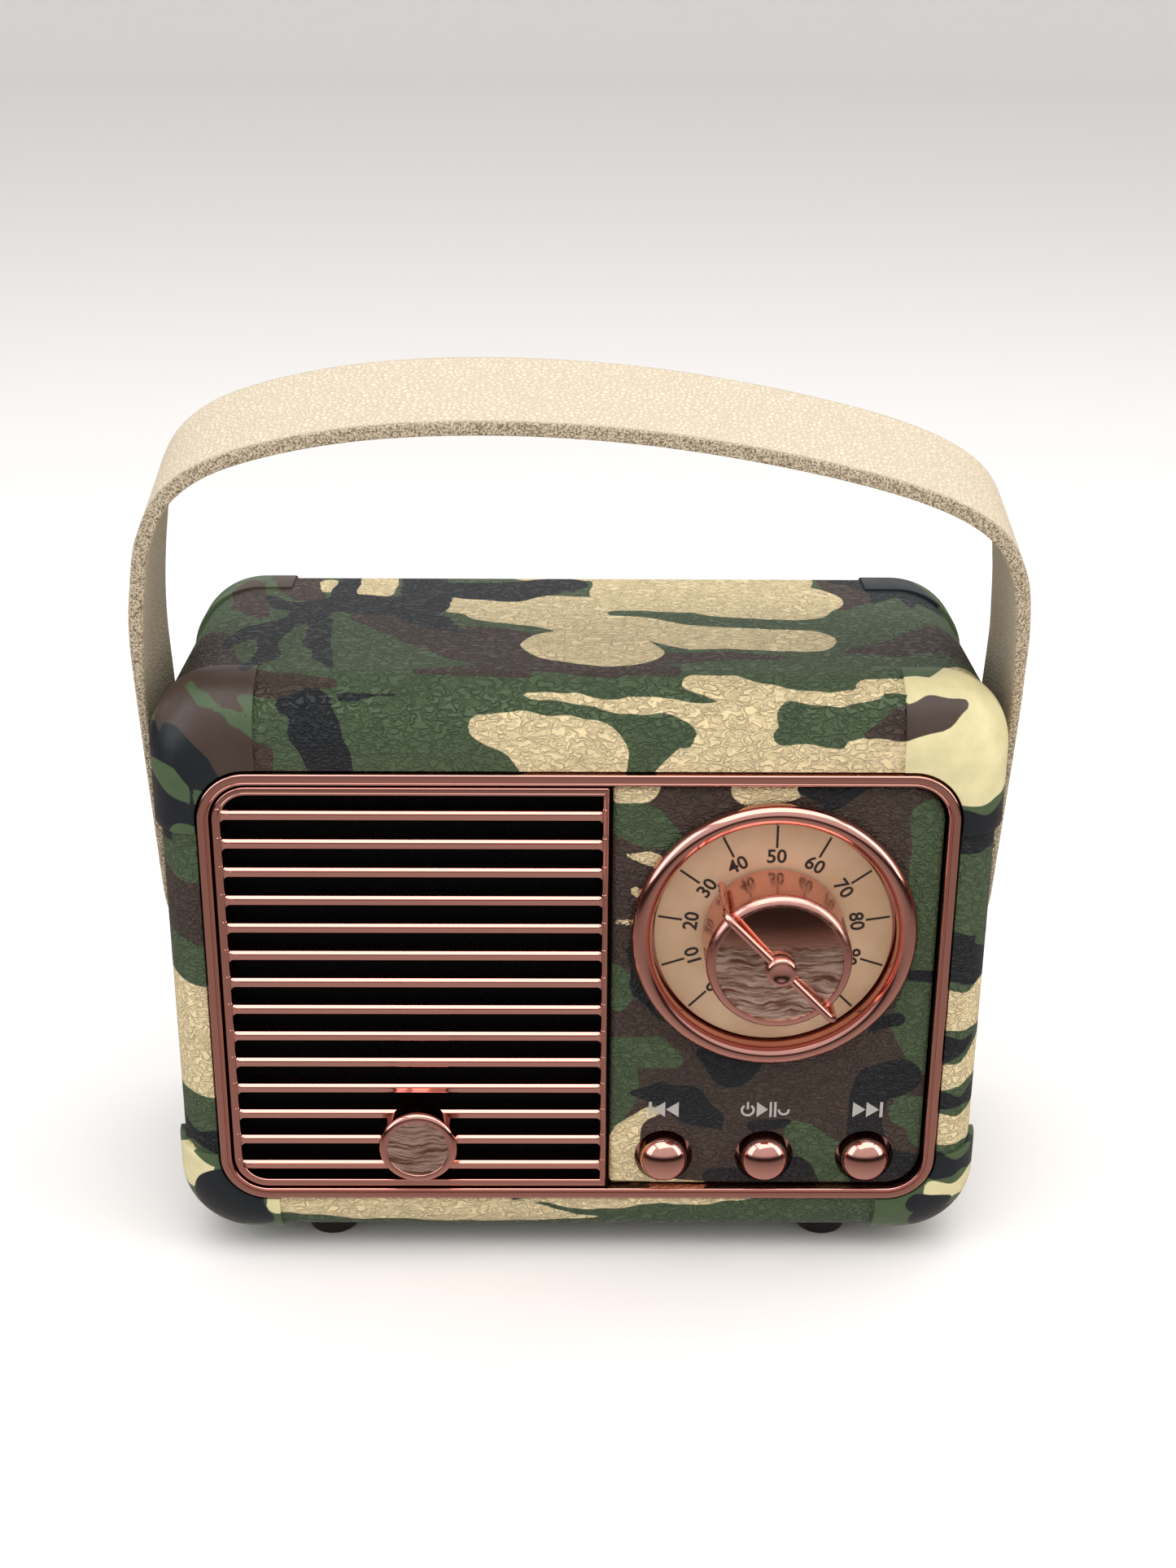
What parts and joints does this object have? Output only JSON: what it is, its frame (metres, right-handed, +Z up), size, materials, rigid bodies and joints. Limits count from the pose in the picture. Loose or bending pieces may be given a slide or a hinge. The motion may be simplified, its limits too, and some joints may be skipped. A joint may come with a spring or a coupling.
{
  "type": "portable radio",
  "caption": "Small table-top wireless radio in camouflage leatherette with smooth corner guards, louvred grille, tuning dial, domed keys and a leather strap handle.",
  "frame": {"origin": "on the ground under the middle of the whole bounding box, feet at z = 0", "axes": "+X to the radio's right as seen from the front, +Y from the front grille to the rear cover, +Z up"},
  "size_m": [0.115, 0.0602, 0.1203],
  "materials": {
    "leatherette": "grained camouflage-printed leatherette, satin",
    "guard_plastic": "smooth moulded plastic with the same camouflage film, satin",
    "rose_gold": "rose-gold vacuum-plated ABS, mirror",
    "black_plastic": "moulded black ABS",
    "grille_cloth": "black acoustic cloth",
    "dial_face": "champagne printed plate",
    "rubber": "black rubber",
    "steel": "zinc-plated steel",
    "strap_leather": "cream grained leather, split edges and suede back",
    "circuit_board": "green solder mask on glass-epoxy",
    "cell_wrap": "blue shrink sleeve",
    "cone_paper": "black pressed paper",
    "clear_plastic": "milky clear plastic",
    "wire_sheath": "red PVC"
  },
  "bodies": {
    "cabinet": {"guard_front_top_left": "guard_plastic", "guard_front_top_right": "guard_plastic", "guard_front_bottom_left": "guard_plastic", "guard_front_bottom_right": "guard_plastic", "guard_rear_top_left": "guard_plastic", "guard_rear_top_right": "guard_plastic", "guard_rear_bottom_left": "guard_plastic", "guard_rear_bottom_right": "guard_plastic", "cabinet_shell": "leatherette", "front_frame": "rose_gold", "grille": "rose_gold", "grille_badge": "rose_gold", "grille_cloth": "grille_cloth", "control_panel": "leatherette", "front_baffle": "black_plastic", "dial_bezel": "rose_gold", "dial_plate": "dial_face", "tuning_pot": "steel", "switch_previous": "black_plastic", "switch_play": "black_plastic", "switch_next": "black_plastic", "main_board": "circuit_board", "speaker_basket": "steel", "speaker_cone": "cone_paper", "speaker_magnet": "steel", "battery_cell": "cell_wrap", "battery_cradle": "black_plastic", "speaker_lead": "wire_sheath", "battery_lead": "wire_sheath", "rear_cover": "leatherette", "port_plate": "black_plastic", "rear_screw_bottom_left": "steel", "rear_screw_top_left": "steel", "rear_screw_bottom_right": "steel", "rear_screw_top_right": "steel", "port_board": "circuit_board", "charging_socket": "steel", "card_slot": "steel", "audio_jack": "black_plastic", "status_light": "clear_plastic", "board_ribbon": "clear_plastic", "foot_front_left": "rubber", "foot_front_right": "rubber", "foot_rear_left": "rubber", "foot_rear_right": "rubber", "pivot_screw_left": "rose_gold", "pivot_screw_right": "rose_gold"},
    "handle": {"handle_strap": "strap_leather"},
    "knob": {"tuning_knob": "rose_gold", "knob_pointer": "rose_gold", "knob_shaft": "steel"},
    "previous_key": {"key_previous": "rose_gold"},
    "play_key": {"key_play": "rose_gold"},
    "next_key": {"key_next": "rose_gold"}
  },
  "joints": [
    {"name": "handle_swing", "type": "hinge", "parent": "cabinet", "child": "handle", "pos_m": [0, 0.0048, 0.0507], "axis": [1, 0, 0], "range_deg": [-118, 92]},
    {"name": "knob_turn", "type": "hinge", "parent": "cabinet", "child": "knob", "pos_m": [0.025, -0.0199, 0.0494], "axis": [0, 1, 0], "range_deg": [-91, 179]},
    {"name": "previous_press", "type": "slide", "parent": "cabinet", "child": "previous_key", "axis": [0, 1, 0], "range_m": [0, 0.0006], "stiffness_N_per_m": 600, "springref_m": -0.0005},
    {"name": "play_press", "type": "slide", "parent": "cabinet", "child": "play_key", "axis": [0, 1, 0], "range_m": [0, 0.0006], "stiffness_N_per_m": 600, "springref_m": -0.0005},
    {"name": "next_press", "type": "slide", "parent": "cabinet", "child": "next_key", "axis": [0, 1, 0], "range_m": [0, 0.0006], "stiffness_N_per_m": 600, "springref_m": -0.0005}
  ]
}
